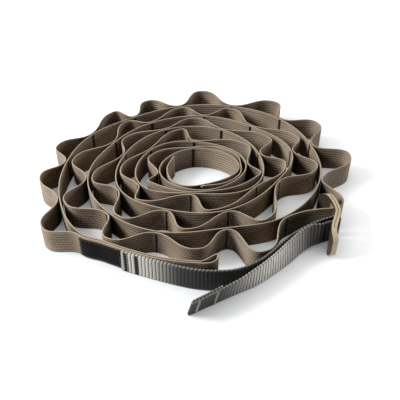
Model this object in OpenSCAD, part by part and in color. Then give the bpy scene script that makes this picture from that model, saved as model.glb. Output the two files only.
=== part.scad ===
// Stretching strap: a daisy chain of webbing loops with a buckled anchor strap,
// wound up loosely and standing on the edge of its webbing. Millimetres.
// +Z is up, the webbing stands on z = 0, and the origin is under the middle of its box.

/* [Strap] */
// Width of the strap's webbing, which is its height as it stands on edge
strap_w = 25; // [20:0.5:28]
// Thickness of the strap's webbing
strap_t = 1.4; // [1:0.1:1.6]
// Air between two layers of the strap that are sewn together
sewn_gap = 0.5; // [0.45:0.05:0.7]

/* [Stitching] */
// Length of a bar tack along the strap
tack_l = 2; // [1:0.1:3]
// Distance from a bar tack's ends to the edges of the webbing
tack_margin = 1.5; // [0.5:0.1:4]
// How far the thread of a tack stands up from the webbing
tack_t = 0.5; // [0.3:0.05:0.8]
// Air between sewn trim, such as thread or label, and the webbing under it
trim_gap = 0.25; // [0.15:0.05:0.3]

/* [Label] */
// Length of the woven label
label_l = 40; // [20:1:41]
// Distance from the label to the first tack and to the anchor strap
label_margin = 1; // [0.5:0.1:2]
// Height of the woven label
label_h = 21; // [12:0.5:24]
// Thickness of the woven label
label_t = 0.5; // [0.3:0.05:0.8]

/* [Anchor strap] */
// Width of the anchor strap
anchor_w = 25; // [20:0.5:28]
// Thickness of the anchor strap
anchor_t = 1.8; // [1.2:0.1:2.2]
// Length of the two bar tacks that hold the anchor strap
anchor_tack_l = 3; // [2:0.1:4]
// Distance between those two bar tacks, middle to middle
anchor_tack_gap = 10; // [7:0.5:14]
// Length of the hem folded back at the end of the tail
hem_l = 26; // [15:1:34]
// Length over which webbing lifts off the table to pass through the buckle
lift_l = 45; // [40:1:50]
// Clearance of the tail where it folds beside the buckle
fold_gap = 0.3; // [0.2:0.05:0.5]
// How far the rolled edge at that fold stands out from the faces of the tail
fold_bulge = 0.2; // [0.1:0.05:0.4]

/* [Buckle] */
// Thickness of the buckle's plate
buckle_t = 4.5; // [4:0.1:5.5]
// Height of the rails above and below the buckle's windows
rail_h = 3; // [2:0.1:5]
// Clearance between webbing and the rails
slot_gap = 0.5; // [0.3:0.1:1]
// Radius of the round bar that the anchor strap turns around
bar_r = 2; // [1.6:0.1:2.2]
// Clearance between that bar and the strap around it
bar_gap = 0.3; // [0.2:0.05:0.5]
// Room on each side of the bar for the anchor strap
strap_slot = 4.6; // [4.4:0.1:5]
// Width of the bar between the two windows
cross_bar = 4; // [3:0.1:5]
// Length of the window for the strap's loop
loop_slot = 8; // [7:0.1:9]
// Radius of the buckle's corners, seen from its side
corner_r = 11; // [6:0.5:13]
// Width of the groove along the buckle's edges
groove_w = 0.9; // [0.5:0.1:1.4]
// Depth of that groove
groove_d = 0.5; // [0.3:0.1:0.8]

/* [Hidden] */
$fn = 48;

// Tacks along the strap, from the label inwards
tack_at = [
    [-98, -84], [-124, -37], [-126, 17], [-107, 63], [-65, 96], [-18, 117], [41, 118], [92, 92],
    [118, 46], [119, -10], [80, -62], [27, -77], [-33, -81], [-77, -57], [-102, -8], [-82, 50],
    [-46, 85], [10, 98], [59, 79], [97, 35], [78, -13], [29, -54], [-25, -53], [-70, -25],
    [-70, 29], [-31, 72], [28, 72], [64, 30], [56, -20], [-4, -31], [-52, -17], [-45, 36],
    [-1, 51], [50, 15], [11, -26], [-34, 1], [-2, 39], [43, 11], [5, -19]
];
// The tip of the loop between each tack and the next
loop_tip = [
    [-133, -75], [-148, -6], [-140, 44], [-90, 106], [-54, 129], [8, 150], [90, 127], [132, 84],
    [155, 27], [135, -36], [57, -105], [2, -102], [-75, -89], [-119, -42], [-120, 22], [-75, 86],
    [-14, 115], [41, 113], [106, 60], [119, 8], [64, -65], [-8, -78], [-67, -62], [-98, -8],
    [-72, 58], [0, 94], [77, 58], [89, 13], [14, -54], [-51, -40], [-72, 6], [-15, 73],
    [51, 47], [62, -3], [-43, -14], [-44, 27], [35, 34.5], [35.5, -11]
];
// The strap before its first tack, from the end loop to the label, and after its last tack
outer_end = [[3, -116], [-16, -114], [-37, -109], [-59, -101], [-79, -92]];
inner_end = [[-17, -17], [-27, 4], [-21, 26]];
end_loop_tip = [19, -110];
// The loop that holds the buckle, and the number of the tack that it starts at
buckle_loop = 9;
buckle_loop_route = [[126.5, -23.5], [133, -34], [134, -45], [125.6, -54.4], [112, -55.5], [97, -57]];
// The anchor strap after its tacks, up to the buckle
anchor_route = [
    [-20, -119], [0, -124.5], [18, -126], [36, -123.5], [54, -113.5], [64, -104.5], [74, -93.5],
    [84, -84], [95, -76.5], [106, -71], [115, -67.5]
];
// The middle of the buckle's plate, seen from above, and of its round bar
plate_route = [[115, -33], [119.5, -38], [123.3, -46], [125.3, -55], [125.5, -62], [123.5, -69],
    [121, -75.5], [118.8, -82], [118, -88], [119.5, -92.5]];
bar_at = [123.5, -69];
// Where the tail folds beside the buckle, and its lower edge from there to its end
fold_at = [111, -75];
tail_route = [[103, -78.5], [93, -85.5], [80, -97.5], [66, -109.5], [51, -121], [36, -129], [14, -141],
    [-4, -151]];
// How far the top of the tail leans out from its lower edge, at the fold and at each of those points
tail_lean = [0, -3, -4, -3.5, -1, 1, 5, 7, 8];
// The middle of the whole object's box in the coordinates of these routes
middle = [3.5, -4.14];

// Steps between two points of a route, and along each side of a loop
route_steps = 8;
loop_steps = 11;
bight_steps = 12;
hem_steps = 6;
// How far a curve runs on in its own direction: along routes, at tacks and over the tip of a loop
route_pull = 1.05;
tack_pull = 1.2;
tip_pull = 1.35;

loop_count = len(loop_tip);
loop_span = norm(tack_at[1] - tack_at[0]);
layer_pitch = strap_t + sewn_gap;
tack_h = strap_w - 2 * tack_margin;
window_h = max(strap_w, anchor_w) + 2 * slot_gap;
buckle_h = window_h + 2 * rail_h;
rise = rail_h + slot_gap;
bight_r = bar_r + bar_gap + anchor_t / 2;
strap_window = bar_r + strap_slot;
loop_window = strap_window + cross_bar;
hem_pitch = anchor_t + trim_gap;
fold_r = anchor_t / 2 + fold_bulge;
// How far cuts reach to each side of the curved plate, and past a face
cut_reach = norm(plate_route[0] - bar_at);
cut_over = 1;

function unit(v) = v / norm(v);
function left_of(v) = [-v.y, v.x];
function eased(s) = let (c = max(0, min(1, s))) c * c * (3 - 2 * c);
function last(list) = list[len(list) - 1];
function reversed(list) = [for (i = [len(list) - 1:-1:0]) list[i]];
function moved(list) = [for (p = list) p - middle];

// Direction of a line at one of its points
function heading(line, i) =
    i == 0 ? unit(line[1] - line[0])
    : i == len(line) - 1 ? unit(line[i] - line[i - 1])
    : unit(unit(line[i + 1] - line[i]) + unit(line[i] - line[i - 1]));

// Direction at every point of a line, with the first and the last as given
function ways(line, first = undef, final = undef) =
    [for (i = [0:len(line) - 1])
        i == 0 && !is_undef(first) ? first
        : i == len(line) - 1 && !is_undef(final) ? final : heading(line, i)];

// A point, at s from 0 to 1, on the curve from p to q that leaves along u and arrives along v
function curve(p, u, q, v, s) =
    (2 * s^3 - 3 * s^2 + 1) * p + (s^3 - 2 * s^2 + s) * u
    + (3 * s^2 - 2 * s^3) * q + (s^3 - s^2) * v;

// A curve between two points that leaves along u and arrives along v, without its last point
function bend(p, u, q, v, pull_p, pull_q, steps) =
    [for (i = [0:steps - 1]) curve(p, u * pull_p * norm(q - p), q, v * pull_q * norm(q - p), i / steps)];

// A smooth line through the points of a route, with its first and last direction if they are given
function smooth(route, first = undef, final = undef) =
    let (way = ways(route, first, final))
    [for (i = [0:len(route) - 2])
        each bend(route[i], way[i], route[i + 1], way[i + 1], route_pull, route_pull, route_steps),
        last(route)];

// A line moved sideways to its left
function beside(line, distance, first = undef, final = undef) =
    let (way = ways(line, first, final))
    [for (i = [0:len(line) - 1]) line[i] + left_of(way[i]) * distance];

// Distance of each point from the start of its line, and a stretch between two such distances
function runs(line) =
    [for (i = 0, s = 0; i < len(line); s = s + (i + 1 < len(line) ? norm(line[i + 1] - line[i]) : 0),
        i = i + 1) s];
function point_at(line, far, s) =
    [lookup(s, [for (i = [0:len(line) - 1]) [far[i], line[i].x]]),
     lookup(s, [for (i = [0:len(line) - 1]) [far[i], line[i].y]])];
function stretch(line, from, to, steps) =
    let (far = runs(line)) [for (i = [0:steps]) point_at(line, far, from + (to - from) * i / steps)];

// The strap's own layer, from the end loop inwards, with the tacks that lie on it
base_route = moved(concat(outer_end, tack_at, inner_end));
base_line = smooth(base_route);
first_tack = len(outer_end);
function tack_point(k) = base_route[first_tack + k];
function tack_way(k) = heading(base_route, first_tack + k);
function sewn_point(k) = tack_point(k) + left_of(tack_way(k)) * layer_pitch;

// One loop: out from its first tack, over its tip and back to the next tack
function loop_line(k) =
    let (p = sewn_point(k), q = sewn_point(k + 1), tip = loop_tip[k] - middle, over = unit(q - p))
    k == buckle_loop
    ? smooth(concat([p], moved(buckle_loop_route), [q]), tack_way(k), tack_way(k + 1))
    : concat(bend(p, tack_way(k), tip, over, tack_pull, tip_pull, loop_steps),
        bend(tip, over, q, tack_way(k + 1), tip_pull, tack_pull, loop_steps), [q]);

// The end of the strap: out along the layer under the label, round the end loop and back
end_steps = first_tack * route_steps;
end_line = [for (i = [0:end_steps]) base_line[i]];
front_line = beside(end_line, layer_pitch, final = tack_way(0));
end_way = heading(end_line, 0);
end_fold = let (tip = end_loop_tip - middle, up = left_of(-end_way))
    concat(bend(front_line[0], -end_way, tip, up, tip_pull, tip_pull, loop_steps),
        bend(tip, up, end_line[0], end_way, tip_pull, tip_pull, loop_steps));
strap_line = concat(reversed([for (i = [1:end_steps]) front_line[i]]), end_fold, base_line);

// What is sewn to the front of that layer, measured back from the first tack
front_face = layer_pitch + strap_t / 2 + trim_gap;
function sewn_on(thickness, from, to) =
    let (line = beside(end_line, front_face + thickness / 2), far = last(runs(line)))
    stretch(line, far - from, far - to, route_steps);
anchor_from = label_l + 2 * label_margin;
anchor_sewn_l = anchor_tack_gap + 2 * anchor_tack_l;
anchor_sewn = sewn_on(anchor_t, anchor_from, anchor_from + anchor_sewn_l);
anchor_tacks_at = [for (i = [0, 1]) anchor_from + anchor_tack_l / 2 + i * anchor_tack_gap];

// The anchor strap: on from its tacks, round the bar of the buckle and up to the fold of the tail
plate_line = smooth(moved(plate_route));
bar = bar_at - middle;
plate_way = unit(plate_route[4] - plate_route[6]);
plate_out = -left_of(plate_way);
fold = fold_at - middle;
tail_way = unit(tail_route[0] - fold_at);
near_line = smooth(concat([last(anchor_sewn)], moved(anchor_route), [bar + plate_way * bight_r]),
    heading(anchor_sewn, route_steps), plate_out);
bight_line = [for (i = [1:bight_steps - 1])
    bar + bight_r * (plate_way * cos(180 * i / bight_steps) + plate_out * sin(180 * i / bight_steps))];
stub_line = smooth([bar - plate_way * bight_r, fold], -plate_out, tail_way);
anchor_line = concat(anchor_sewn, [for (i = [1:len(near_line) - 1]) near_line[i]], bight_line, stub_line);

// The tail: its lower edge from the fold to its end, and the hem folded back behind it
tail_line = smooth(concat([fold], moved(tail_route)), tail_way);
tail_far = runs(tail_line);
tail_l = last(tail_far);
function tail_tilt(s) =
    let (along = [for (k = [0:len(tail_lean) - 1]) [tail_far[k * route_steps], tail_lean[k]]],
        step = [for (i = [0:len(tail_line) - 1]) [tail_far[i], i]])
    left_of(heading(tail_line, round(lookup(s, step)))) * lookup(s, along);
hem_stretch = beside(stretch(tail_line, tail_l, tail_l - hem_l, hem_steps), hem_pitch);
hem_way = heading(tail_line, len(tail_line) - 1);
hem_turn = [for (i = [1:hem_steps - 1])
    last(tail_line) - left_of(hem_way) * hem_pitch / 2
    + hem_pitch / 2 * (left_of(hem_way) * cos(180 * i / hem_steps) + hem_way * sin(180 * i / hem_steps))];
tail_strip = concat(tail_line, hem_turn, hem_stretch);
tail_tilts = concat([for (s = tail_far) tail_tilt(s)], [for (p = hem_turn) tail_tilt(tail_l)],
    [for (i = [0:hem_steps]) tail_tilt(tail_l - hem_l * i / hem_steps)]);
tail_rises = concat([for (s = tail_far) lifted(s)], [for (p = concat(hem_turn, hem_stretch)) 0]);

// Height of the lower edge of webbing at a distance along it from the buckle
function lifted(s) = rise * eased(1 - abs(s) / lift_l);
function lifted_line(line, at) = let (far = runs(line)) [for (s = far) lifted(s < at ? at - s : 0)];

function loop_name(k) = str(k < 9 ? "loop_0" : "loop_", k + 1);

// The least air between two stretches of the strap that lie further apart along it than a loop is wide
function clear_gap(line, far, apart) =
    min([for (i = [0:len(line) - 1]) for (j = [i + 1:len(line) - 1])
        if (far[j] - far[i] > apart) norm(line[i] - line[j])]) - strap_t;
echo(least_gap = clear_gap(strap_line, runs(strap_line), loop_span));  // base_webbing

// Webbing on edge along a line, with square ends
module strip(line, thickness, width, first = undef, final = undef, bottom = 0) {
    translate([0, 0, bottom])
        linear_extrude(width)
            polygon(concat(beside(line, thickness / 2, first, final),
                reversed(beside(line, -thickness / 2, first, final))));
}

// Webbing whose lower edge rises and whose top leans, by a distance along the ground at each point.
// It can lie to the left of its line, and start above the lower edge.
module leaning_strip(line, thickness, width, rises, tilts, aside = 0, above = 0, full = anchor_w,
        first = undef, final = undef) {
    way = ways(line, first, final);
    function up(i) = [tilts[i].x, tilts[i].y, sqrt(full * full - tilts[i] * tilts[i])] / full;
    function out(i) = unit(cross(up(i), [way[i].x, way[i].y, 0]));
    function foot(i) = [line[i].x, line[i].y, rises[i] + abs(out(i).z) * thickness / 2]
        + out(i) * aside + up(i) * above;
    ends = len(line) - 1;
    corners = [for (i = [0:ends])
        let (half = out(i) * thickness / 2, low = foot(i), high = low + up(i) * width)
        each [low - half, low + half, high + half, high - half]];
    sides = [for (i = [0:ends - 1]) for (c = [0:3])
        let (a = 4 * i + c, b = 4 * i + (c + 1) % 4) each [[a, b + 4, b], [a, a + 4, b + 4]]];
    near_cap = [[0, 1, 2], [0, 2, 3]];
    far_cap = [for (f = near_cap) [for (c = reversed(f)) c + 4 * ends]];
    polyhedron(corners, concat(sides, near_cap, far_cap));
}

// A pad of thread across the webbing at one tack, to the left of the strap's middle
module tack_pad(k, aside, length) {
    at = tack_point(k) + left_of(tack_way(k)) * aside;
    translate([at.x, at.y, strap_w / 2])
        rotate(atan2(tack_way(k).y, tack_way(k).x))
            cube([length, tack_t, tack_h], center = true);
}

module base_webbing() {
    color("#8c7a66") strip(strap_line, strap_t, strap_w, first = -tack_way(0));
}

module loop(k) {
    line = loop_line(k);
    color("#94826d")
        if (k == buckle_loop) buckle_loop_strip(line);
        else strip(line, strap_t, strap_w, tack_way(k), tack_way(k + 1));
}

// The loop through the buckle lifts off the table where it passes the window
module buckle_loop_strip(line) {
    far = runs(line);
    at = far[route_steps * 4];
    leaning_strip(line, strap_t, strap_w, [for (s = far) lifted(s - at)], [for (p = line) [0, 0]],
        full = strap_w, first = tack_way(buckle_loop), final = tack_way(buckle_loop + 1));
}

module bar_tacks() {
    inner = -strap_t / 2 - trim_gap - tack_t / 2;
    outer = layer_pitch + strap_t / 2 + trim_gap + tack_t / 2;
    color("#2a231d") {
        for (k = [0:loop_count]) tack_pad(k, inner, tack_l);
        for (k = [1:loop_count]) tack_pad(k, outer, tack_l / 2);
    }
}

module label() {
    color("#17171a")
        strip(sewn_on(label_t, label_margin, label_margin + label_l), label_t, label_h,
            bottom = (strap_w - label_h) / 2);
}

module anchor_strap() {
    at = runs(anchor_line)[len(anchor_sewn) + len(near_line) - 2];
    color("#1b1b1c")
        difference() {
            leaning_strip(anchor_line, anchor_t, anchor_w, lifted_line(anchor_line, at),
                [for (p = anchor_line) [0, 0]]);
            translate([fold.x, fold.y, 0])
                cylinder(r = fold_r + fold_gap, h = rise + anchor_w + cut_over);
        }
}

module anchor_tacks() {
    color("#0d0d0e")
        for (s = anchor_tacks_at) {
            line = sewn_on(tack_t, s, s + anchor_tack_l);
            strip(beside(line, -anchor_t - trim_gap), tack_t, anchor_w - 2 * tack_margin,
                bottom = tack_margin);
        }
}

module rounded_square(size, r) {
    translate([r, 0]) square([size.x - 2 * r, size.y]);
    translate([0, r]) square([size.x, size.y - 2 * r]);
    for (x = [r, size.x - r]) for (y = [r, size.y - r]) translate([x, y]) circle(r);
}

// A window through the buckle between two distances from its round bar
module window(from, to) {
    translate([bar.x, bar.y, rail_h])
        rotate(atan2(plate_way.y, plate_way.x))
            translate([from, -cut_reach, 0]) cube([to - from, 2 * cut_reach, window_h]);
}

module buckle() {
    near_end = last(plate_line).y;
    far_end = plate_line[0].y;
    color("#c2a47c")
        union() {
            difference() {
                intersection() {
                    strip(plate_line, buckle_t, buckle_h);
                    translate([bar.x - cut_reach, near_end, 0])
                        rotate([90, 0, 90])
                            linear_extrude(2 * cut_reach)
                                rounded_square([far_end - near_end, buckle_h], corner_r);
                }
                window(-strap_window, strap_window);
                window(loop_window, loop_window + loop_slot);
                for (z = [-cut_over, buckle_h - groove_d])
                    strip(plate_line, groove_w, groove_d + cut_over, bottom = z);
            }
            translate([bar.x, bar.y, rail_h / 2]) cylinder(r = bar_r, h = buckle_h - rail_h);
        }
}

module tail_strap() {
    color("#1f1f20")
        union() {
            leaning_strip(tail_strip, anchor_t, anchor_w, tail_rises, tail_tilts);
            translate([fold.x, fold.y, rise + fold_bulge])
                cylinder(r = fold_r, h = anchor_w - 2 * fold_bulge);
        }
}

module hem_tacks() {
    color("#0d0d0e")
        for (s = [tail_l - hem_l + anchor_tack_l, tail_l - 2 * anchor_tack_l]) {
            line = stretch(tail_line, s, s + anchor_tack_l, 2);
            tilts = [for (i = [0:2]) tail_tilt(s + anchor_tack_l * i / 2)];
            leaning_strip(line, tack_t, anchor_w - 2 * tack_margin, [0, 0, 0], tilts,
                aside = anchor_t / 2 + trim_gap + tack_t / 2, above = tack_margin);
        }
}

base_webbing();
for (k = [0:loop_count - 1])
    loop(k);
bar_tacks();
label();
anchor_strap();
anchor_tacks();
buckle();
tail_strap();
hem_tacks();
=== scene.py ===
import math

import bpy
import numpy as np
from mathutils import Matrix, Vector


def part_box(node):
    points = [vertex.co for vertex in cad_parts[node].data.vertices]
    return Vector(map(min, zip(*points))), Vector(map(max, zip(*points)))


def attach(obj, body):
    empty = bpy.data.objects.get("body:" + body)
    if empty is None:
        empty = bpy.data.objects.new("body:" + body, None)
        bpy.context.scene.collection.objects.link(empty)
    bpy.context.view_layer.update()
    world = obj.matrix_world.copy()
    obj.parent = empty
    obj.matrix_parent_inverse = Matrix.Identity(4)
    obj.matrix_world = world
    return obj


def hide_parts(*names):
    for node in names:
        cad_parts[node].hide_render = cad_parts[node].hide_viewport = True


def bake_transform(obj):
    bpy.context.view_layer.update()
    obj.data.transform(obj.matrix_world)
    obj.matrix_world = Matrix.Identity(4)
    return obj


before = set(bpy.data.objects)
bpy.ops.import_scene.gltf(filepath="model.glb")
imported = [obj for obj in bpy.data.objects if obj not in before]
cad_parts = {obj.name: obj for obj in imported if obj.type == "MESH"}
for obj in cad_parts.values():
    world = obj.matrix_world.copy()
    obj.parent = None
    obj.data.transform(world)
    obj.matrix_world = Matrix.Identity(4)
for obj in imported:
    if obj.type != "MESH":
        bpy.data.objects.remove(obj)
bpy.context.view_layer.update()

# A stretching strap: a daisy chain of brown webbing loops, wound up and standing on edge, with a
# black anchor strap that passes through a tan buckle. Metres, in the frame's own axes.

MM = 0.001
TURN = 2 * math.pi


def height_of(node):
    """Height of a node of the frame."""
    low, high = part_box(node)
    return high.z - low.z


# Sizes of the brown webbing, and of the painted shade beside each of its tacks
STRAP_W = height_of("loop_01")
STRAP_T = 1.4 * MM
SEWN_GAP = 0.5 * MM
LAYER_PITCH = STRAP_T + SEWN_GAP
RIB_COUNT = 8
RIB_D = 0.16 * MM
TACK_SHADE_L = 26 * MM
TACK_SHADE_DEPTH = 0.85

# Sizes of the black webbing
ANCHOR_W = STRAP_W
ANCHOR_T = 1.8 * MM
RIDGE_PITCH = 3.2 * MM
RIDGE_D = 0.45 * MM
RIDGE_SLANT = RIDGE_PITCH / 3
NOTCH_D = 1.5 * RIDGE_D
TRIM_GAP = 0.25 * MM
SMALL_GAP = 0.05 * MM
HEM_L = 26 * MM
HEM_PITCH = ANCHOR_T + TRIM_GAP

# Sizes of the sewing. Grooves between its threads take a share of a tack's thickness and length.
TACK_L = 3.2 * MM
TACK_MARGIN = 1.2 * MM
TACK_H = STRAP_W - 2 * TACK_MARGIN
TACK_T = 0.5 * MM
TACK_THREAD = 1.1 * MM
TACK_GROOVE = 0.45
TACK_NOTCH = 0.15
SWAY_L = 3 * TACK_THREAD
ANCHOR_TACK_L = 3 * MM
ANCHOR_TACK_GAP = 10 * MM
ANCHOR_TACK_SWAY = 0.4 * MM
LABEL_L = 40 * MM
LABEL_MARGIN = 1 * MM
LABEL_H = height_of("label")
LABEL_T = 0.5 * MM

# The buckle's edges, and what the webbing does round it
BUCKLE_EDGE_W = 0.6 * MM
BUCKLE_EDGE_STEPS = 3
BUCKLE_EDGE_ANGLE = math.radians(50)
RISE = 3.5 * MM
LIFT_L = 45 * MM
BAR_CLEAR_R = 2.3 * MM
BIGHT_R = BAR_CLEAR_R + ANCHOR_T / 2

# How finely the webbing is drawn, how sharp its furrows and edges are, and how much of it is melted
CURVE_STEPS = 24
WEBBING_PACE = 1.8 * MM
RIDGE_PACE = RIDGE_PITCH / 10
ROUND_STEPS = 6
THREAD_STEPS = 7
STEPS_PER_THREAD = 4
STEPS_PER_RIB = 4
BLACK_FACE_STEPS = 8
LABEL_FACE_STEPS = 2
FURROW_SHARPNESS = 8
RIDGE_SHARPNESS = 0.6
EDGE_SHARPNESS = 12
MELTED_RINGS = 1
MELTED_RIDGE_RINGS = 4

# Routes seen from above, in millimetres, and the middle of the frame among them
MIDDLE = np.array([3.5, -4.14])
TACKS = [
    [-98, -84], [-124, -37], [-126, 17], [-107, 63], [-65, 96], [-18, 117], [41, 118], [92, 92],
    [118, 46], [119, -10], [80, -62], [27, -77], [-33, -81], [-77, -57], [-102, -8], [-82, 50],
    [-46, 85], [10, 98], [59, 79], [97, 35], [78, -13], [29, -54], [-25, -53], [-70, -25],
    [-70, 29], [-31, 72], [28, 72], [64, 30], [56, -20], [-4, -31], [-52, -17], [-45, 36],
    [-1, 51], [50, 15], [11, -26], [-34, 1], [-2, 39], [43, 11], [5, -19],
]
TIPS = [
    [-133, -75], [-148, -6], [-140, 44], [-90, 106], [-54, 129], [8, 150], [90, 127], [132, 84],
    [155, 27], [135, -36], [57, -105], [2, -102], [-75, -89], [-119, -42], [-120, 22], [-75, 86],
    [-14, 115], [41, 113], [106, 60], [119, 8], [64, -65], [-8, -78], [-67, -62], [-98, -8],
    [-72, 58], [0, 94], [77, 58], [89, 13], [14, -54], [-51, -40], [-72, 6], [-15, 73],
    [51, 47], [62, -3], [-43, -14], [-44, 27], [35, 34.5], [35.5, -11],
]
OUTER_END = [[3, -116], [-16, -114], [-37, -109], [-59, -101], [-79, -92]]
INNER_END = [[-17, -17], [-27, 4], [-21, 26]]
END_LOOP_TIP = [19, -110]
ANCHOR_ROUTE = [
    [-20, -119], [0, -124.5], [18, -126], [36, -123.5], [54, -113.5], [64, -104.5], [74, -93.5],
    [84, -84], [95, -76.5], [106, -71], [115, -67.5],
]
PLATE_NEAR_BAR = [[125.5, -62], [121, -75.5]]
BAR_AT = [123.5, -69]
FOLD_AT = [111, -75]
TAIL_ROUTE = [
    [103, -78.5], [93, -85.5], [80, -97.5], [66, -109.5], [51, -121], [36, -129], [14, -141],
    [-4, -151],
]

# How far the tail's upper edge leans out at its fold and at each point of its route, in millimetres
TAIL_LEAN = [0, -3, -4, -3.5, -1, 1, 5, 7, 8]

# The loop that holds the buckle, its route, and the step of the route that is inside the buckle
BUCKLE_LOOP = 9
BUCKLE_LOOP_ROUTE = [[126.5, -23.5], [133, -34], [134, -45], [125.6, -54.4], [112, -55.5], [97, -57]]
BUCKLE_LOOP_LIFTED = 4

# How far a curve runs on in its own direction: along routes, at tacks and over the tip of a loop
ROUTE_PULL = 1.05
TACK_PULL = 1.2
TIP_PULL = 1.35


# Lines seen from above

def placed(route):
    """Points of a route in metres, in the frame."""
    return (np.array(route, float) - MIDDLE) * MM


def unit(v):
    """Vectors of length one."""
    return v / np.linalg.norm(v, axis=-1, keepdims=True)


def left_of(v):
    """Vectors turned a quarter turn to their left."""
    return np.stack([-v[..., 1], v[..., 0]], -1)


def ways(line, first=None, final=None):
    """Direction of a line at each of its points, with the first and the last as given."""
    chords = unit(np.diff(line, axis=0))
    between = unit(chords[1:] + chords[:-1])
    first = chords[0] if first is None else first
    final = chords[-1] if final is None else final
    return np.vstack([first, between, final])


def bend(p, u, q, v, pull_p, pull_q):
    """A curve from p to q that leaves along u and arrives along v, without its last point."""
    s = np.arange(CURVE_STEPS)[:, None] / CURVE_STEPS
    reach = np.linalg.norm(q - p)
    return (
        (2 * s**3 - 3 * s**2 + 1) * p
        + (s**3 - 2 * s**2 + s) * u * pull_p * reach
        + (3 * s**2 - 2 * s**3) * q
        + (s**3 - s**2) * v * pull_q * reach
    )


def smooth(route, first=None, final=None):
    """A smooth line through the points of a route."""
    way = ways(route, first, final)
    spans = [
        bend(route[i], way[i], route[i + 1], way[i + 1], ROUTE_PULL, ROUTE_PULL)
        for i in range(len(route) - 1)
    ]
    return np.vstack([*spans, route[-1:]])


def beside(line, distance, final=None):
    """A line moved sideways to its left."""
    return line + left_of(ways(line, final=final)) * distance


def runs(line):
    """Distance of each point from the start of its line."""
    return np.concatenate([[0], np.cumsum(np.linalg.norm(np.diff(line, axis=0), axis=1))])


def at_runs(wanted, far, pairs):
    """Pairs of numbers at wanted distances, from pairs at known distances."""
    return np.stack([np.interp(wanted, far, pairs[:, axis]) for axis in (0, 1)], -1)


def stretch(line, start, end, steps):
    """Part of a line, in equal steps between two distances from its start."""
    return at_runs(np.linspace(start, end, steps + 1), runs(line), line)


def paced(line, pace):
    """A line with points at an even pace."""
    length = runs(line)[-1]
    return stretch(line, 0, length, round(length / pace))


def eased(s):
    """A share from 0 to 1 that starts and ends gently."""
    c = np.clip(s, 0, 1)
    return c * c * (3 - 2 * c)


def lifted(s):
    """Height of webbing's lower edge at a distance along it from the buckle."""
    return RISE * eased(1 - np.abs(s) / LIFT_L)


# The base layer, with the front layer folded back over the end loop
base_route = placed(OUTER_END + TACKS + INNER_END)
base_line = smooth(base_route)
first_tack = len(OUTER_END)
tack_points = base_route[first_tack:first_tack + len(TACKS)]
tack_ways = ways(base_route)[first_tack:first_tack + len(TACKS)]
end_line = base_line[:first_tack * CURVE_STEPS + 1]
end_l = runs(end_line)[-1]
front_line = beside(end_line, LAYER_PITCH, final=tack_ways[0])
end_way = ways(end_line)[0]
end_tip, end_up = placed(END_LOOP_TIP), left_of(-end_way)
end_fold = np.vstack([
    bend(front_line[0], -end_way, end_tip, end_up, TIP_PULL, TIP_PULL),
    bend(end_tip, end_up, end_line[0], end_way, TIP_PULL, TIP_PULL),
])
strap_line = np.vstack([front_line[:0:-1], end_fold, base_line])

# The loop layer
sewn_points = tack_points + left_of(tack_ways) * LAYER_PITCH


def loop_line(k):
    """One loop: out from its first tack, over its tip and back to the next tack."""
    p, q = sewn_points[k], sewn_points[k + 1]
    if k == BUCKLE_LOOP:
        route = np.vstack([p, placed(BUCKLE_LOOP_ROUTE), q])
        return smooth(route, tack_ways[k], tack_ways[k + 1])
    tip, over = placed(TIPS[k]), unit(q - p)
    return np.vstack([
        bend(p, tack_ways[k], tip, over, TACK_PULL, TIP_PULL),
        bend(tip, over, q, tack_ways[k + 1], TIP_PULL, TACK_PULL),
        q,
    ])


loop_lines = [loop_line(k) for k in range(len(TIPS))]
loops_line = np.vstack([line[:-1] for line in loop_lines] + [loop_lines[-1][-1:]])


def sewn_on(thickness, start, end):
    """What is sewn to the front layer, measured back from the first tack."""
    line = beside(end_line, LAYER_PITCH + STRAP_T / 2 + SMALL_GAP + thickness / 2)
    far = runs(line)[-1]
    return stretch(line, far - start, far - end, CURVE_STEPS)


# The black strap: from its tacks to the buckle, round the bar, and back as the tail
anchor_from = LABEL_L + 2 * LABEL_MARGIN
anchor_sewn = sewn_on(ANCHOR_T, anchor_from, anchor_from + ANCHOR_TACK_GAP + 2 * ANCHOR_TACK_L)
bar, fold = placed(BAR_AT), placed(FOLD_AT)
plate_ends = placed(PLATE_NEAR_BAR)
plate_way = unit(plate_ends[0] - plate_ends[1])
plate_out = -left_of(plate_way)
tail_points = placed(TAIL_ROUTE)
tail_way = unit(tail_points[0] - fold)
near_line = smooth(
    np.vstack([anchor_sewn[-1:], placed(ANCHOR_ROUTE), bar + plate_way * BIGHT_R]),
    ways(anchor_sewn)[-1], plate_out,
)
half_turn = np.linspace(0, math.pi, CURVE_STEPS + 1)[1:-1, None]
bight_line = bar + BIGHT_R * (plate_way * np.cos(half_turn) + plate_out * np.sin(half_turn))
bight_end = bar - plate_way * BIGHT_R
to_buckle_line = np.vstack([anchor_sewn, near_line[1:]])
anchor_line = np.vstack([to_buckle_line, bight_line, bight_end])
stub_line = smooth(np.vstack([bight_end, fold]), -plate_out, tail_way)
tail_line = smooth(np.vstack([fold, tail_points]), tail_way)


# Meshes

def flat_profile(width, thickness, face_steps, ribs=0, rib_depth=0.0):
    """Outline of webbing's cross-section: across its thickness and up its width, with round edges."""
    edge_r = thickness / 2
    up = np.linspace(edge_r, width - edge_r, face_steps + 1)
    rib_turn = TURN * ribs * (up - edge_r) / (width - 2 * edge_r)
    half = thickness / 2 - rib_depth * np.cos(rib_turn) ** FURROW_SHARPNESS
    corner = np.linspace(0, math.pi, ROUND_STEPS + 1)[1:-1]
    top = np.stack([edge_r * np.cos(corner), width - edge_r + edge_r * np.sin(corner)], -1)
    bottom = np.stack([-edge_r * np.cos(corner), edge_r - edge_r * np.sin(corner)], -1)
    right = np.stack([half, up], -1)
    left = np.stack([-half[::-1], up[::-1]], -1)
    return np.vstack([right, top, left, bottom])


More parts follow.
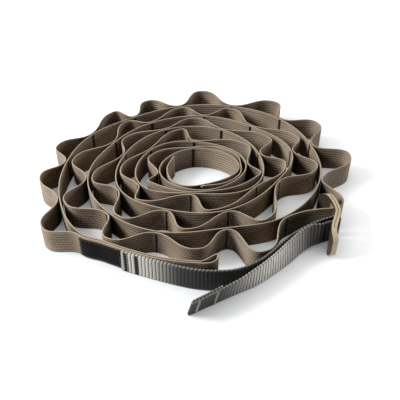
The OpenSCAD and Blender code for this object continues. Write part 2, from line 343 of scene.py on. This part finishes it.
def strip_rings(line, profile, width, rises=0.0, leans=0.0, first=None, final=None):
    """Rings of points along webbing on edge, which may rise and lean.

    Also how far along each ring is, and the directions along and out of the webbing there.
    """
    count = len(line)
    way = np.hstack([ways(line, first, final), np.zeros((count, 1))])
    leans = np.broadcast_to(leans, (count, 2))
    tall = np.sqrt(width**2 - (leans**2).sum(1))
    up = np.hstack([leans, tall[:, None]]) / width
    out = unit(np.cross(up, way))
    foot = np.hstack([line, (rises + np.abs(out[:, 2]) * ANCHOR_T / 2)[:, None]])
    rings = (
        foot[:, None]
        + out[:, None] * profile[None, :, :1]
        + up[:, None] * profile[None, :, 1:]
    )
    return rings, runs(line), way, out


def sweep(rings, far, profile):
    """Corners, faces, ends and texture places of a closed solid through rings of points."""
    count, around = rings.shape[:2]
    start, spot = np.meshgrid(np.arange(count - 1) * around, np.arange(around), indexing="ij")
    after = (spot + 1) % around
    ahead = start + around
    faces = np.stack([start + spot, start + after, ahead + after, ahead + spot], -1)
    ends = [list(range(around))[::-1], [(count - 1) * around + n for n in range(around)]]
    places = np.stack(np.broadcast_arrays(far[:, None], profile[None, :, 1]), -1)
    return rings.reshape(-1, 3), faces.reshape(-1, 4), ends, places.reshape(-1, 2)


def solid(name, sweeps, material, end_material=None, end_rings=(0, 0)):
    """One object from several sweeps. Its first and last rings can have a material of their own."""
    corners, faces, places, ends, marked = [], [], [], [], []
    offset = 0
    for points, quads, caps, where in sweeps:
        corners.append(points)
        faces.extend((quads + offset).tolist())
        around = len(caps[0])
        ring = np.arange(len(quads)) // around
        last = len(points) // around - 1
        marked.extend(((ring < end_rings[0]) | (ring >= last - end_rings[1])).tolist())
        ends.extend([[n + offset for n in cap] for cap in caps])
        places.append(where)
        offset += len(points)
    mesh = bpy.data.meshes.new(name)
    mesh.from_pydata(np.vstack(corners).tolist(), [], faces + ends)
    where = np.vstack(places)
    picks = np.zeros(len(mesh.loops), np.int32)
    mesh.loops.foreach_get("vertex_index", picks)
    layer = mesh.uv_layers.new(name="cloth")
    layer.data.foreach_set("uv", where[picks].astype(np.float32).ravel())
    mesh.polygons.foreach_set("use_smooth", [True] * len(faces) + [False] * len(ends))
    mesh.materials.append(material)
    if end_material:
        mesh.materials.append(end_material)
        mesh.polygons.foreach_set("material_index", [int(m) for m in marked] + [1] * len(ends))
    mesh.update()
    obj = bpy.data.objects.new(name, mesh)
    bpy.context.scene.collection.objects.link(obj)
    return obj


def seated(obj, body, slot, *nodes):
    """A piece rides on its body and stands for nodes of the frame. Its slot is not used."""
    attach(obj, body)
    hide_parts(*nodes)


# Materials

def colour(code):
    """Linear colour of an sRGB hex code."""
    parts = [int(code[i:i + 2], 16) / 255 for i in (1, 3, 5)]
    return [p / 12.92 if p <= 0.04045 else ((p + 0.055) / 1.055) ** 2.4 for p in parts] + [1.0]


def add(tree, kind, inputs=(), **settings):
    """Adds a shader node with its settings and links, and returns its first output in use.

    Inputs come in order or by name. Each is a value, or an output of another node.
    """
    made = tree.nodes.new("ShaderNode" + kind)
    for key, value in settings.items():
        setattr(made, key, value)
    sockets = [socket for socket in made.inputs if socket.enabled]
    if isinstance(inputs, dict):
        sockets = [next(socket for socket in sockets if socket.name == name) for name in inputs]
        inputs = inputs.values()
    for socket, value in zip(sockets, inputs):
        if isinstance(value, bpy.types.NodeSocket):
            tree.links.new(value, socket)
        else:
            socket.default_value = value
    return next((socket for socket in made.outputs if socket.enabled), None)


def fresh_material(name):
    """An empty material and its tree."""
    material = bpy.data.materials.new(name)
    material.use_nodes = True
    material.node_tree.nodes.clear()
    return material, material.node_tree


def brown_webbing_material():
    """Woven nylon webbing: matt yarn in lengthwise ribs, rubbed paler along its edges."""
    pick_pitch = 2.4 * MM
    fleck = 0.9 * MM
    patch = 25 * MM
    edge_w = 0.9 * MM
    rib_pitch = (STRAP_W - STRAP_T) / RIB_COUNT
    material, tree = fresh_material("woven_nylon_brown")
    place = add(tree, "UVMap", uv_map="cloth")
    split = add(tree, "SeparateXYZ", [place]).node.outputs
    along, across = split["X"], split["Y"]
    # Furrows between the ribs
    rib = add(tree, "Math", [across, STRAP_T / 2], operation="SUBTRACT")
    rib = add(tree, "Math", [rib, rib_pitch], operation="DIVIDE")
    turn = add(tree, "Math", [rib, TURN], operation="MULTIPLY")
    wave = add(tree, "Math", [turn], operation="COSINE")
    furrow = add(tree, "MapRange", {"Value": wave, "From Min": 0.1, "To Max": 0.62})
    # Yarn that crosses each rib, half a step on from the rib below, drawn coarse so that it shows
    row = add(tree, "Math", [rib], operation="FLOOR")
    shift = add(tree, "Math", [row, math.pi], operation="MULTIPLY")
    pick = add(tree, "Math", [along, TURN / pick_pitch], operation="MULTIPLY")
    pick = add(tree, "Math", [pick, shift], operation="ADD")
    pick = add(tree, "Math", [pick], operation="SINE")
    cross = add(tree, "MapRange", {"Value": pick, "From Min": -0.2, "To Max": 0.34})
    # Worn patches and flecks of yarn
    spot = add(tree, "TexCoord").node.outputs["Object"]
    worn = add(tree, "TexNoise", {"Vector": spot, "Scale": 1 / patch, "Detail": 4})
    worn = add(tree, "MapRange", {"Value": worn, "From Min": 0.3, "From Max": 0.7})
    fine = add(tree, "TexNoise", {"Vector": spot, "Scale": 1 / fleck, "Detail": 2})
    flecks = add(tree, "MapRange", {"Value": fine, "From Min": 0.45, "From Max": 0.75, "To Max": 0.4})
    # Painted shade beside the tacks, on the side of each layer that faces the other
    painted_shade = add(tree, "Attribute", attribute_name="tack_shade").node.outputs["Fac"]
    # Pale edges
    off = add(tree, "Math", [across, STRAP_W / 2], operation="SUBTRACT")
    off = add(tree, "Math", [off], operation="ABSOLUTE")
    edge = add(tree, "MapRange", {"Value": off, "From Min": STRAP_W / 2 - edge_w, "From Max": STRAP_W / 2})
    tint = add(tree, "Mix", {"Factor": worn, "A": colour("#908171"), "B": colour("#ae9e8c")},
               data_type="RGBA")
    tones = [
        (flecks, "#675a4d"), (cross, "#4f4439"), (furrow, "#332a22"), (painted_shade, "#1a1510"), (edge, "#aa9a87"),
    ]
    for amount, code in tones:
        tint = add(tree, "Mix", {"Factor": amount, "A": tint, "B": colour(code)}, data_type="RGBA")
    lump = add(tree, "Math", [pick, wave], operation="SUBTRACT")
    relief = add(tree, "Math", [lump, fine], operation="ADD")
    bump = add(tree, "Bump", {"Height": relief, "Strength": 0.6, "Distance": 0.12 * MM})
    shader = add(tree, "BsdfPrincipled", {
        "Base Color": tint, "Normal": bump, "Roughness": 0.85, "Specular IOR Level": 0.04,
    })
    add(tree, "OutputMaterial", {"Surface": shader})
    return material


def black_webbing_material(name, sheen_at, sheen_reach, sheen_colour):
    """Ribbed polypropylene webbing: smooth black filament that shines on its ridges.

    Around one place along it the black is painted pale, as a painted highlight.
    """
    filament = 0.9 * MM
    patch = 18 * MM
    edge_w = 2 * MM
    material, tree = fresh_material(name)
    place = add(tree, "UVMap", uv_map="cloth")
    split = add(tree, "SeparateXYZ", [place]).node.outputs
    along, across = split["X"], split["Y"]
    # Furrows between the ridges
    ridge = add(tree, "Math", [along, math.pi / RIDGE_PITCH], operation="MULTIPLY")
    ridge = add(tree, "Math", [ridge], operation="SINE")
    ridge = add(tree, "Math", [ridge], operation="ABSOLUTE")
    furrow = add(tree, "MapRange", {"Value": ridge, "From Min": 0.55, "From Max": 0.1})
    # Filament that runs over the ridges
    strand = add(tree, "Math", [across, TURN / filament], operation="MULTIPLY")
    strand = add(tree, "Math", [strand], operation="SINE")
    bump = add(tree, "Bump", {"Height": strand, "Strength": 0.3, "Distance": 0.08 * MM})
    # Worn patches, and the painted highlight around one place
    spot = add(tree, "TexCoord").node.outputs["Object"]
    worn = add(tree, "TexNoise", {"Vector": spot, "Scale": 1 / patch, "Detail": 5})
    away = add(tree, "Math", [along, sheen_at], operation="SUBTRACT")
    away = add(tree, "Math", [away], operation="ABSOLUTE")
    painted_sheen = add(tree, "MapRange", {"Value": away, "From Max": sheen_reach, "To Min": 0.92, "To Max": 0.0},
               interpolation_type="SMOOTHSTEP")
    # Edges painted pale, tooth by tooth: a painted highlight on the ridges
    off = add(tree, "Math", [across, ANCHOR_W / 2], operation="SUBTRACT")
    off = add(tree, "Math", [off], operation="ABSOLUTE")
    edge = add(tree, "MapRange", {
        "Value": off, "From Min": ANCHOR_W / 2 - edge_w, "From Max": ANCHOR_W / 2, "To Max": 0.6,
    })
    tint = add(tree, "Mix", {"Factor": worn, "A": colour("#131312"), "B": colour("#232220")},
               data_type="RGBA")
    for amount, code in [(painted_sheen, sheen_colour), (edge, "#8f8b83"), (furrow, "#0b0b0b")]:
        tint = add(tree, "Mix", {"Factor": amount, "A": tint, "B": colour(code)}, data_type="RGBA")
    lengthwise = add(tree, "Tangent", direction_type="UV_MAP", uv_map="cloth")
    shader = add(tree, "BsdfPrincipled", {
        "Base Color": tint, "Normal": bump, "Tangent": lengthwise, "Anisotropic": 0.85,
        "Anisotropic Rotation": 0.25, "Roughness": 0.46, "Specular IOR Level": 0.3, "IOR": 1.5,
    })
    add(tree, "OutputMaterial", {"Surface": shader})
    return material


def thread_material(name, dark, light, twist):
    """Twisted polyester sewing thread: a dull shine and light and dark turns of its twist."""
    material, tree = fresh_material(name)
    spot = add(tree, "TexCoord").node.outputs["Object"]
    fibre = add(tree, "TexNoise", {"Vector": spot, "Scale": 1 / twist, "Detail": 3})
    tint = add(tree, "Mix", {"Factor": fibre, "A": colour(dark), "B": colour(light)}, data_type="RGBA")
    bump = add(tree, "Bump", {"Height": fibre, "Strength": 0.4, "Distance": 0.1 * MM})
    shader = add(tree, "BsdfPrincipled", {
        "Base Color": tint, "Normal": bump, "Roughness": 0.7, "Specular IOR Level": 0.15,
    })
    add(tree, "OutputMaterial", {"Surface": shader})
    return material


def label_material():
    """Damask label cloth: very fine black yarn, woven flat, with a faint shine and a sewn border."""
    yarn = 0.6 * MM
    stitch_l = 1.6 * MM
    stitch_gap = 0.4 * stitch_l
    stitch_w = 0.9 * MM
    stitch_inset = 1.2 * MM
    material, tree = fresh_material("damask_black")
    place = add(tree, "UVMap", uv_map="cloth")
    split = add(tree, "SeparateXYZ", [place]).node.outputs
    along, across = split["X"], split["Y"]
    warp = add(tree, "Math", [along, TURN / yarn], operation="MULTIPLY")
    warp = add(tree, "Math", [warp], operation="SINE")
    weft = add(tree, "Math", [across, TURN / yarn], operation="MULTIPLY")
    weft = add(tree, "Math", [weft], operation="SINE")
    weave = add(tree, "Math", [warp, weft], operation="MULTIPLY")
    amount = add(tree, "MapRange", {"Value": weave, "From Min": -1.0})
    # A row of stitches inside the edge all round, drawn coarse so that it shows
    past_end = add(tree, "Math", [along, LABEL_L / 2], operation="SUBTRACT")
    past_end = add(tree, "Math", [past_end], operation="ABSOLUTE")
    past_end = add(tree, "Math", [past_end, LABEL_L / 2], operation="SUBTRACT")
    past_top = add(tree, "Math", [across, LABEL_H / 2], operation="SUBTRACT")
    past_top = add(tree, "Math", [past_top], operation="ABSOLUTE")
    past_top = add(tree, "Math", [past_top, LABEL_H / 2], operation="SUBTRACT")
    inside = add(tree, "Math", [past_end, past_top], operation="MAXIMUM")
    off_row = add(tree, "Math", [inside, stitch_inset], operation="ADD")
    off_row = add(tree, "Math", [off_row], operation="ABSOLUTE")
    on_row = add(tree, "Math", [off_row, stitch_w / 2], operation="LESS_THAN")
    step = add(tree, "Math", [along, across], operation="ADD")
    step = add(tree, "Math", [step, stitch_l], operation="PINGPONG")
    raised = add(tree, "Math", [step, stitch_gap], operation="GREATER_THAN")
    sewn = add(tree, "Math", [on_row, raised], operation="MULTIPLY")
    tint = add(tree, "Mix", {"Factor": amount, "A": colour("#08080a"), "B": colour("#131316")},
               data_type="RGBA")
    tint = add(tree, "Mix", {"Factor": sewn, "A": tint, "B": colour("#4a4036")}, data_type="RGBA")
    bump = add(tree, "Bump", {"Height": weave, "Strength": 0.4, "Distance": 0.08 * MM})
    shader = add(tree, "BsdfPrincipled", {
        "Base Color": tint, "Normal": bump, "Roughness": 0.6, "Specular IOR Level": 0.05,
    })
    add(tree, "OutputMaterial", {"Surface": shader})
    return material


def melted_material(name, dark, light):
    """Webbing cut with a hot knife: yarn melted to a smooth, uneven, paler rim."""
    blob = 1.5 * MM
    material, tree = fresh_material(name)
    spot = add(tree, "TexCoord").node.outputs["Object"]
    melt = add(tree, "TexNoise", {"Vector": spot, "Scale": 1 / blob, "Detail": 3})
    tint = add(tree, "Mix", {"Factor": melt, "A": colour(dark), "B": colour(light)}, data_type="RGBA")
    bump = add(tree, "Bump", {"Height": melt, "Strength": 0.6, "Distance": 0.3 * MM})
    shader = add(tree, "BsdfPrincipled", {"Base Color": tint, "Normal": bump, "Roughness": 0.45})
    add(tree, "OutputMaterial", {"Surface": shader})
    return material


def buckle_material(name, dark, light):
    """Moulded acetal: tan plastic with a satin skin, fine grain from the mould and slight flow marks."""
    grain = 0.5 * MM
    flow = 14 * MM
    material, tree = fresh_material(name)
    where = add(tree, "TexCoord").node.outputs
    marks = add(tree, "TexNoise", {"Vector": where["Object"], "Scale": 1 / flow, "Detail": 3})
    pits = add(tree, "TexNoise", {"Vector": where["Object"], "Scale": 1 / grain, "Detail": 2})
    tint = add(tree, "Mix", {"Factor": marks, "A": colour(dark), "B": colour(light)}, data_type="RGBA")
    # Painted shade: the side that faces in, towards the black strap, is drawn dark
    inner = add(tree, "VectorMath", [where["Normal"], (*-plate_out, 0)], operation="DOT_PRODUCT")
    inner_shade = add(tree, "MapRange", {"Value": inner, "From Min": 0.1, "From Max": 0.3, "To Max": 0.95})
    tint = add(tree, "Mix", {"Factor": inner_shade, "A": tint, "B": colour("#1b160e")}, data_type="RGBA")
    bump = add(tree, "Bump", {"Height": pits, "Strength": 0.2, "Distance": 0.05 * MM})
    shader = add(tree, "BsdfPrincipled", {
        "Base Color": tint, "Normal": bump, "Roughness": 0.4, "IOR": 1.48, "Specular IOR Level": 0.25,
    })
    add(tree, "OutputMaterial", {"Surface": shader})
    return material


brown_webbing = brown_webbing_material()
# Each black strap has a painted highlight of its own: a pale stretch at a place along it
anchor_webbing = black_webbing_material("ribbed_polypropylene_anchor", 16 * MM, 40 * MM, "#c6c2b8")
tail_webbing = black_webbing_material("ribbed_polypropylene_tail", 68 * MM, 64 * MM, "#e6e2d8")
brown_thread = thread_material("polyester_thread_brown", "#0f0b08", "#281e16", 0.5 * MM)
black_thread = thread_material("polyester_thread_black", "#0b0b0c", "#232324", 0.5 * MM)
grey_thread = thread_material("polyester_thread_grey", "#1c1b19", "#c4bfb4", 1.2 * MM)
label_cloth = label_material()
brown_melt = melted_material("melted_nylon_brown", "#8f7a62", "#b9a68c")
black_melt = melted_material("melted_polypropylene_grey", "#5d5a55", "#a5a198")
tan_acetal = buckle_material("moulded_acetal_tan", "#b3a186", "#c9b89c")
# The buckle's bevelled edges take a pale copy of the acetal, as a painted highlight
edge_highlight_acetal = buckle_material("edge_highlight_acetal_tan", "#ebe0cb", "#f8f2e6")


# The brown strap

strap_profile = flat_profile(STRAP_W, STRAP_T, STEPS_PER_RIB * RIB_COUNT, RIB_COUNT, RIB_D)


def brown_strip(name, line, nodes, tack_runs, facing, rises=0.0, first=None, final=None):
    """A layer of the strap. Its side that faces the other layer is drawn darker beside the tacks, as
    painted shade.
    """
    rings, far, *_ = strip_rings(line, strap_profile, STRAP_W, rises, first=first, final=final)
    obj = solid(name, [sweep(rings, far, strap_profile)], brown_webbing, brown_melt, (0, MELTED_RINGS))
    # Painted shade: darker beside each tack, on the side that faces the other layer
    off_tack = np.abs(far[:, None] - tack_runs).min(1)
    side = np.clip(facing * strap_profile[:, 0] / (STRAP_T / 4), 0, 1)
    tack_shade = TACK_SHADE_DEPTH * eased(1 - off_tack / TACK_SHADE_L)[:, None] * side
    painted_shade = obj.data.attributes.new("tack_shade", "FLOAT", "POINT")
    painted_shade.data.foreach_set("value", tack_shade.astype(np.float32).ravel())
    seated(obj, "strap", "webbing", *nodes)


strap_tacks = len(strap_line) - len(base_line) + CURVE_STEPS * (first_tack + np.arange(len(TACKS)))
brown_strip("base_layer", paced(strap_line, WEBBING_PACE), ["base_webbing"],
            runs(strap_line)[strap_tacks], 1, first=-tack_ways[0])

loop_ends = np.cumsum([0] + [runs(line)[-1] for line in loop_lines])
lifted_at = loop_ends[BUCKLE_LOOP] + runs(loop_lines[BUCKLE_LOOP])[BUCKLE_LOOP_LIFTED * CURVE_STEPS]
loops_paced = paced(loops_line, WEBBING_PACE)
brown_strip("loop_layer", loops_paced, [f"loop_{k + 1:02d}" for k in range(len(TIPS))], loop_ends, -1,
            lifted(runs(loops_paced) - lifted_at), tack_ways[0], tack_ways[-1])


# Sewing on the brown strap

def tack_sweep(at, way, aside, length, sway=0.0):
    """A bar of close stitches across the webbing, at a distance to the left of a point."""
    threads = round(TACK_H / TACK_THREAD)
    up = np.linspace(0, TACK_H, STEPS_PER_THREAD * threads + 1)
    over = np.linspace(0, math.pi, THREAD_STEPS + 1)[1:-1]
    groove = TACK_GROOVE * (1 - np.abs(np.sin(math.pi * threads * up / TACK_H)))
    swayed = sway * np.sin(TURN * up / SWAY_L)
    along = np.cos(over) * length / 2 * (1 - TACK_NOTCH * groove[:, None]) + swayed[:, None]
    bulge = np.sin(over)
    sign = np.sign(aside)
    out = aside + sign * TACK_T * (bulge * (1 - groove[:, None]) - 0.5)
    flat = at + along[..., None] * way + out[..., None] * left_of(way)
    tall = np.broadcast_to((TACK_MARGIN + up)[:, None, None], flat.shape[:2] + (1,))
    rings = np.concatenate([flat, tall], -1)
    if sign > 0:
        rings = rings[:, ::-1]
    return sweep(rings, up, np.stack([bulge, bulge], -1))


# Tacks in sight on either side of the two layers, and the thread that goes through between them
tack_sweeps = [
    *[tack_sweep(p, w, -(STRAP_T + TACK_T) / 2, TACK_L) for p, w in zip(tack_points, tack_ways)],
    *[tack_sweep(p, w, LAYER_PITCH + (STRAP_T + TACK_T) / 2, TACK_L / 2)
      for p, w in zip(tack_points[1:], tack_ways[1:])],
    *[tack_sweep(p, w, LAYER_PITCH / 2, TACK_L) for p, w in zip(tack_points, tack_ways)],
]
seated(solid("bar_tack_thread", tack_sweeps, brown_thread), "strap", "tack_thread", "bar_tacks")


# The label

label_line = sewn_on(LABEL_T, LABEL_MARGIN, LABEL_MARGIN + LABEL_L)
label_profile = flat_profile(LABEL_H, LABEL_T, LABEL_FACE_STEPS)
label_rings, label_far, *_ = strip_rings(label_line, label_profile, LABEL_H, (STRAP_W - LABEL_H) / 2)
seated(solid("woven_label", [sweep(label_rings, label_far, label_profile)], label_cloth),
       "strap", "label_cloth", "label")


# The black strap

black_profile = flat_profile(ANCHOR_W, ANCHOR_T, BLACK_FACE_STEPS)


def black_strip(name, line, material, rises, leans=0.0, melted=(0, 0)):
    """A length of the black strap. Its ridges slant at its edges and notch them."""
    rings, far, way, out = strip_rings(line, black_profile, ANCHOR_W, rises, leans)
    ridge = np.abs(np.sin(math.pi * far / RIDGE_PITCH))[:, None] ** RIDGE_SHARPNESS - 1
    side = np.clip(black_profile[:, 0] / (ANCHOR_T / 2), -1, 1)
    across = np.clip(black_profile[:, 1] / (ANCHOR_W / 2) - 1, -1, 1)
    edge = np.sign(across) * np.abs(across) ** EDGE_SHARPNESS
    rings += out[:, None] * (side * ridge * RIDGE_D)[..., None]
    rings += way[:, None] * (edge * RIDGE_SLANT)[:, None]
    rings[..., 2] += edge * ridge * NOTCH_D
    return solid(name, [sweep(rings, far, black_profile)], material, black_melt, melted)


anchor_paced = paced(anchor_line, RIDGE_PACE)
to_buckle = np.maximum(runs(to_buckle_line)[-1] - runs(anchor_paced), 0)
anchor = black_strip("anchor_webbing", anchor_paced, anchor_webbing, lifted(to_buckle),
                     melted=(MELTED_RIDGE_RINGS, 0))
seated(anchor, "strap", "anchor_webbing", "anchor_strap")

# The tail: a stub from the buckle to the fold, the tail itself, and its end turned back as a hem
tail_far = runs(tail_line)
tail_l = tail_far[-1]
tail_ways = ways(tail_line)
hem_way = tail_ways[-1]
hem_back = beside(stretch(tail_line, tail_l, tail_l - HEM_L, CURVE_STEPS), HEM_PITCH)
hem_centre = tail_line[-1] - left_of(hem_way) * HEM_PITCH / 2
hem_turn = hem_centre + HEM_PITCH / 2 * (
    left_of(hem_way) * np.cos(half_turn) + hem_way * np.sin(half_turn)
)
tail_strip = np.vstack([stub_line[:-1], tail_line, hem_turn, hem_back])
stub_l = runs(stub_line)[-1]
hem_start = len(tail_strip) - len(hem_back)
turn_l = runs(tail_strip)[hem_start] - stub_l - tail_l

# The tail leans as its route says, and the hem leans with it
tail_paced = paced(tail_strip, RIDGE_PACE)
on_tail = runs(tail_paced) - stub_l
on_hem = np.maximum(on_tail - tail_l - turn_l, 0)
from_fold = np.where(on_tail <= tail_l, on_tail, tail_l - on_hem)
lean_at = tail_far[::CURVE_STEPS]
lean_size = np.interp(from_fold, lean_at, TAIL_LEAN) * MM
lean_ways = left_of(unit(at_runs(from_fold, tail_far, tail_ways)))
tail = black_strip("tail_webbing", tail_paced, tail_webbing, lifted(np.maximum(on_tail, 0)),
                   lean_ways * lean_size[:, None], melted=(0, MELTED_RIDGE_RINGS))
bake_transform(tail)
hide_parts("tail_strap")


# Sewing on the black strap

anchor_face = LAYER_PITCH + STRAP_T / 2 + SMALL_GAP + ANCHOR_T + TACK_T / 2
first_anchor_tack = anchor_from + ANCHOR_TACK_L / 2
anchor_tack_sweeps = []
for place in (first_anchor_tack, first_anchor_tack + ANCHOR_TACK_GAP):
    start, middle, end = stretch(end_line, end_l - place, end_l - place - ANCHOR_TACK_L, 2)
    anchor_tack_sweeps.append(
        tack_sweep(middle, unit(start - end), anchor_face, ANCHOR_TACK_L, ANCHOR_TACK_SWAY)
    )
seated(solid("anchor_tack_thread", anchor_tack_sweeps, black_thread),
       "strap", "anchor_thread", "anchor_tacks")

hem_tack_sweeps = []
for place in (tail_l - HEM_L + ANCHOR_TACK_L, tail_l - 2 * ANCHOR_TACK_L):
    start, middle, end = stretch(tail_line, place, place + ANCHOR_TACK_L, 2)
    way = unit(end - start)
    points, *others = tack_sweep(middle, way, (ANCHOR_T + TACK_T) / 2, ANCHOR_TACK_L)
    lean = np.interp(place, lean_at, TAIL_LEAN) * MM
    points[:, :2] += points[:, 2:] * left_of(way) * lean / ANCHOR_W
    hem_tack_sweeps.append((points, *others))
seated(solid("hem_tack_thread", hem_tack_sweeps, grey_thread), "tail", "anchor_thread", "hem_tacks")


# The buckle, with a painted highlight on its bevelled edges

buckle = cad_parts["buckle"]
buckle.data.materials.clear()
buckle.data.materials.append(tan_acetal)
buckle.data.materials.append(edge_highlight_acetal)
soften = buckle.modifiers.new("soft_edges", "BEVEL")
soften.width = BUCKLE_EDGE_W
soften.segments = BUCKLE_EDGE_STEPS
soften.material = buckle.data.materials.find(edge_highlight_acetal.name)
soften.limit_method = "ANGLE"
soften.angle_limit = BUCKLE_EDGE_ANGLE


# Floor, light and camera

FLOOR_HALF = 4.0


def floor_material():
    """White paper sweep. To the camera and in reflections it glows where it lies open."""
    glow = 0.8
    open_reach = 25 * MM
    cloud = 200 * MM
    material, tree = fresh_material("white_paper")
    mottle = add(tree, "TexNoise", {"Scale": 2 * FLOOR_HALF / cloud, "Detail": 2})
    tint = add(tree, "Mix", {"Factor": mottle, "A": colour("#e6e9ee"), "B": colour("#eef0f4")},
               data_type="RGBA")
    ray = add(tree, "LightPath").node.outputs
    seen = add(tree, "Math", [ray["Is Camera Ray"], ray["Is Glossy Ray"]], operation="MAXIMUM")
    tint = add(tree, "Mix", {"Factor": seen, "A": tint, "B": colour("#a0a4a9")}, data_type="RGBA")
    lies_open = add(tree, "AmbientOcclusion", {"Distance": open_reach}).node.outputs["AO"]
    shown = add(tree, "Math", [lies_open, glow], operation="MULTIPLY")
    shown = add(tree, "Math", [shown, seen], operation="MULTIPLY")
    shader = add(tree, "BsdfPrincipled", {
        "Base Color": tint, "Roughness": 0.9, "Emission Color": colour("#ffffff"),
        "Emission Strength": shown,
    })
    add(tree, "OutputMaterial", {"Surface": shader})
    return material


floor_corners = [(x * FLOOR_HALF, y * FLOOR_HALF, 0) for x, y in [(-1, -1), (1, -1), (1, 1), (-1, 1)]]
floor_mesh = bpy.data.meshes.new("floor")
floor_mesh.from_pydata(floor_corners, [], [(0, 1, 2, 3)])
floor_mesh.materials.append(floor_material())
floor = bpy.data.objects.new("floor", floor_mesh)
bpy.context.scene.collection.objects.link(floor)


def softbox(name, place, size, power):
    """A square lamp that faces the middle of the strap."""
    lamp = bpy.data.lights.new(name, "AREA")
    lamp.size = size
    lamp.energy = power
    obj = bpy.data.objects.new(name, lamp)
    bpy.context.scene.collection.objects.link(obj)
    obj.location = place
    away = obj.location - Vector((0, 0, STRAP_W / 2))
    obj.rotation_euler = away.to_track_quat("Z", "Y").to_euler()


softbox("left_key", place=(-1.01, -0.12, 0.8), size=0.5, power=29.0)
softbox("right_fill", place=(1.15, 0.42, 0.45), size=0.5, power=6.0)
softbox("low_fill", place=(1.1, -0.64, 0.27), size=0.5, power=3.4)
softbox("overhead", place=(0.0, 0.0, 1.3), size=0.6, power=1.0)

# The world gives hardly any light, and is white to the camera and in reflections
WORLD_LIGHT = 0.01
WORLD_SEEN = 1.0
world = bpy.data.worlds.new("studio")
bpy.context.scene.world = world
world.use_nodes = True
sky = world.node_tree
sky.nodes.clear()
ray = add(sky, "LightPath").node.outputs
seen = add(sky, "Math", [ray["Is Camera Ray"], ray["Is Glossy Ray"]], operation="MAXIMUM")
level = add(sky, "MapRange", {"Value": seen, "To Min": WORLD_LIGHT, "To Max": WORLD_SEEN})
light = add(sky, "Background", {"Color": colour("#ffffff"), "Strength": level})
add(sky, "OutputWorld", {"Surface": light})

# The camera of the photograph: its place, its tilt, and the pixel that it looks along
PHOTO_SIZE = 400
FOCAL_PIXELS = 595.9
CENTRE_PIXEL = (195, 191.7)
ELEVATION = math.radians(40.5)
CAMERA_FAR = 590 * MM
lens = bpy.data.cameras.new("photo_camera")
lens.lens = lens.sensor_width * FOCAL_PIXELS / PHOTO_SIZE
lens.shift_x = (PHOTO_SIZE / 2 - CENTRE_PIXEL[0]) / PHOTO_SIZE
lens.shift_y = (CENTRE_PIXEL[1] - PHOTO_SIZE / 2) / PHOTO_SIZE
camera = bpy.data.objects.new("photo_camera", lens)
bpy.context.scene.collection.objects.link(camera)
plan_origin = placed([0, 0])
camera.location = (
    plan_origin[0],
    plan_origin[1] - CAMERA_FAR * math.cos(ELEVATION),
    CAMERA_FAR * math.sin(ELEVATION),
)
camera.rotation_euler = (math.pi / 2 - ELEVATION, 0, 0)
bpy.context.scene.camera = camera

bpy.context.scene.view_settings.view_transform = "Standard"
